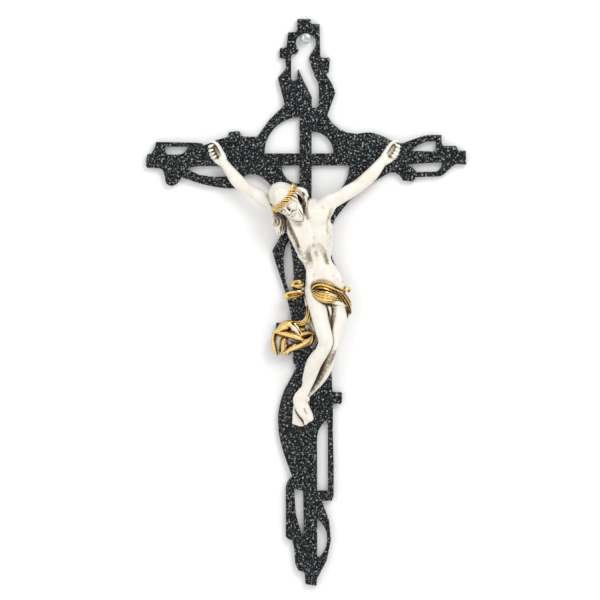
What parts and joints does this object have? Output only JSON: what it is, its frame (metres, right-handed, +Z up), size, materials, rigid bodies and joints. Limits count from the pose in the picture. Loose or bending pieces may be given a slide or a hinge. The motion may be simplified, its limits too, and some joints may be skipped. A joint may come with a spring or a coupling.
{
  "type": "wall crucifix",
  "caption": "Wall crucifix: flat openwork cross of speckled black metal with a cast ivory figure, gilded crown and loincloth, hung on a round peg.",
  "frame": {"origin": "on the flat back of the cross, on the metal just above the hanging hole", "axes": "+Z up along the post, +X to the right seen from the front, +Y out of the back towards the wall, so the front faces -Y"},
  "size_m": [0.2261, 0.0383, 0.4],
  "materials": {
    "cross": "glossy black powder coat with silver grey speckle",
    "corpus": "satin ivory cast resin, brown patina in the hollows, bright gold on crown and cloth",
    "hanging_pin": "polished steel"
  },
  "bodies": {
    "root": {"cross": "cross", "corpus": "corpus", "hanging_pin": "hanging_pin"}
  },
  "joints": []
}
